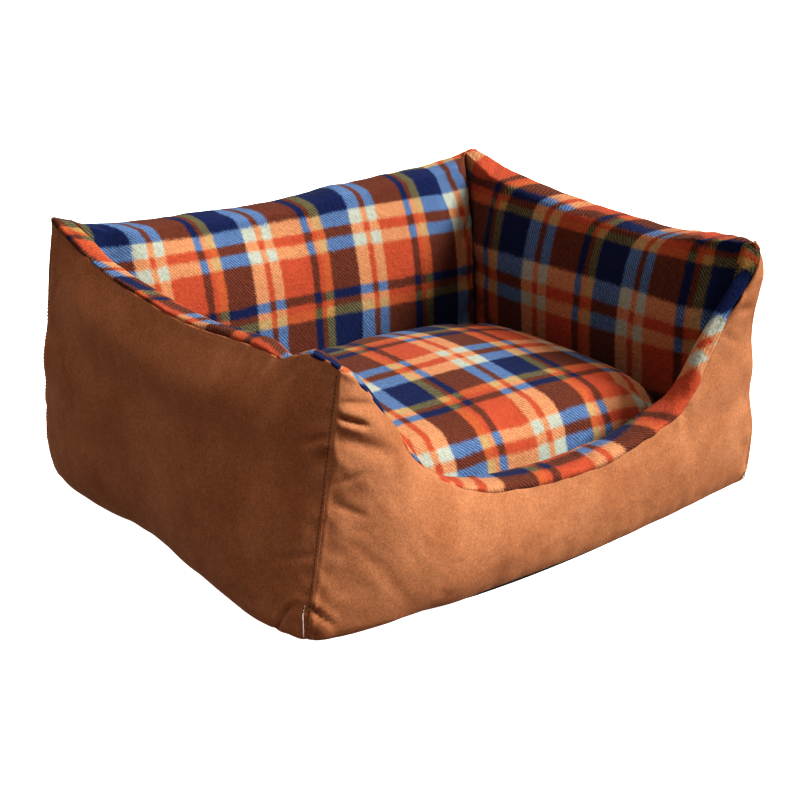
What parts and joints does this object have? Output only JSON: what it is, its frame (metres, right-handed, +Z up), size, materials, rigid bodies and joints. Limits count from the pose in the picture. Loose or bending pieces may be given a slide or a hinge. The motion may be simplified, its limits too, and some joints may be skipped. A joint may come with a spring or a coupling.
{
  "type": "pet bed",
  "caption": "Rectangular bolster bed for a small pet, with stuffed leaning walls, a scooped front entry and a loose domed cushion.",
  "frame": {"origin": "on the floor, under the middle of the bed's footprint", "axes": "+X along the long side to the right of somebody facing the entry, +Y from the entry to the back wall, +Z up"},
  "size_m": [0.4985, 0.3996, 0.228],
  "materials": {
    "suede": "brushed microfibre suede, caramel brown, soft nap",
    "fleece": "printed plaid fleece: orange, navy, cream and ochre checks with a short pile",
    "base_cloth": "dark plain-woven base cloth",
    "liner": "plain brown woven lining",
    "wadding": "white polyester fibre",
    "zip_tape": "brown herringbone tape",
    "zip_teeth": "brown nylon coil",
    "zip_metal": "dull nickel",
    "white_thread": "white cotton thread",
    "dark_thread": "dark brown sewing thread"
  },
  "bodies": {
    "bed": {"front_wall_filling": "wadding", "front_outer_panel": "suede", "front_lining_panel": "fleece", "right_wall_filling": "wadding", "right_outer_panel": "suede", "right_lining_panel": "fleece", "back_wall_filling": "wadding", "back_outer_panel": "suede", "back_lining_panel": "fleece", "left_wall_filling": "wadding", "left_outer_panel": "suede", "left_lining_panel": "fleece", "base_cloth": "base_cloth", "base_pad": "wadding", "floor_liner": "liner", "corner_tack_thread": "white_thread", "corner_thread_tail": "dark_thread"},
    "cushion": {"cushion_top_cover": "fleece", "cushion_bottom_cover": "fleece", "cushion_filling": "wadding", "zip_upper_tape": "zip_tape", "zip_upper_teeth": "zip_teeth", "zip_lower_tape": "zip_tape", "zip_lower_teeth": "zip_teeth", "zip_left_stop": "zip_metal", "zip_right_stop": "zip_metal"},
    "zip_slider": {"zip_slider": "zip_metal"}
  },
  "joints": [
    {"name": "cushion_lift", "type": "slide", "parent": "bed", "child": "cushion", "axis": [0, 0, 1], "range_m": [0, 0.25]},
    {"name": "zip_slide", "type": "slide", "parent": "cushion", "child": "zip_slider", "axis": [1, 0, 0], "range_m": [0, 0.22]}
  ]
}
